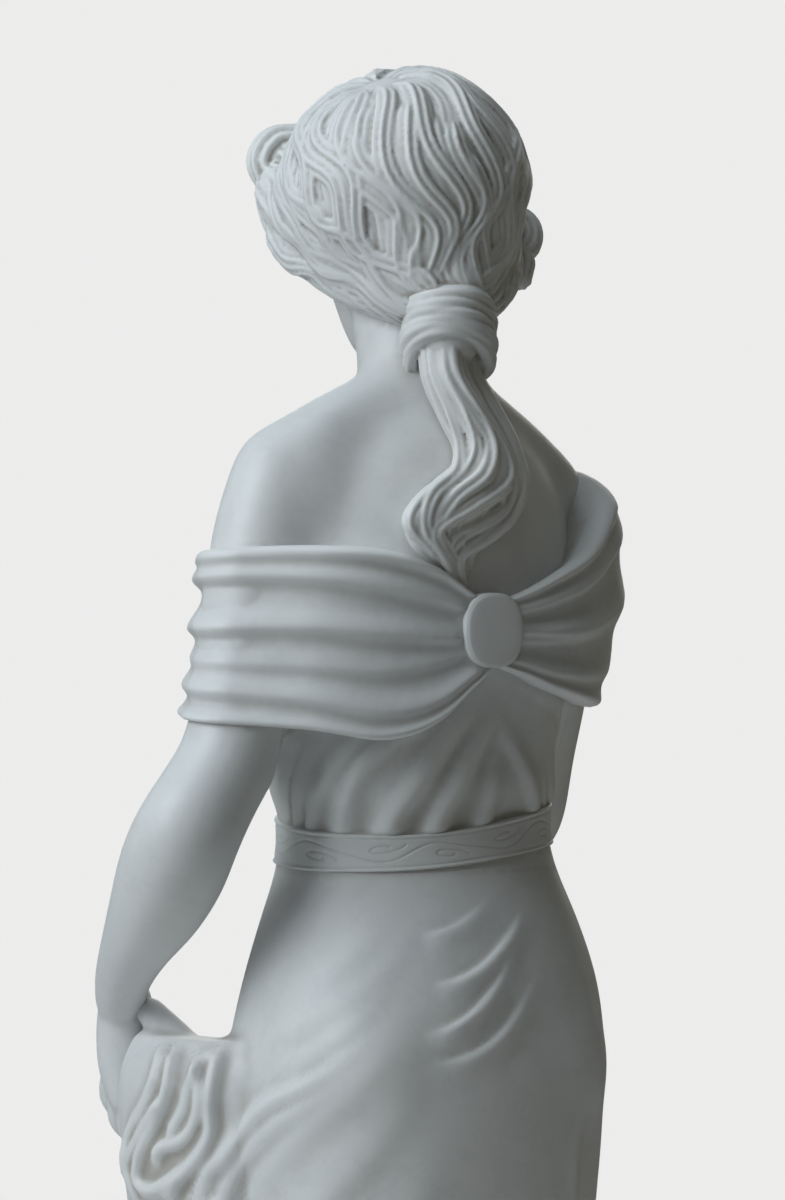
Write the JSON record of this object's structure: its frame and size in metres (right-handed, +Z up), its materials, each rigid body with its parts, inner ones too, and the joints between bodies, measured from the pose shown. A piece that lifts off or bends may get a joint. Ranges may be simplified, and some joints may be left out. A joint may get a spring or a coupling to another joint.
{
  "type": "draped marble statue",
  "caption": "Life-size carved stone figure of a standing draped woman with a tied tail of hair, one piece with its low rectangular base.",
  "frame": {"origin": "middle of the base's flat underside", "axes": "+Z up, -Y the way the figure faces, +X towards the figure's left hand"},
  "size_m": [0.5189, 0.46, 1.7801],
  "materials": {
    "marble": "honed white marble with a soft sheen, greyer and browner in the grooves"
  },
  "bodies": {
    "root": {"statue": "marble"}
  },
  "joints": []
}
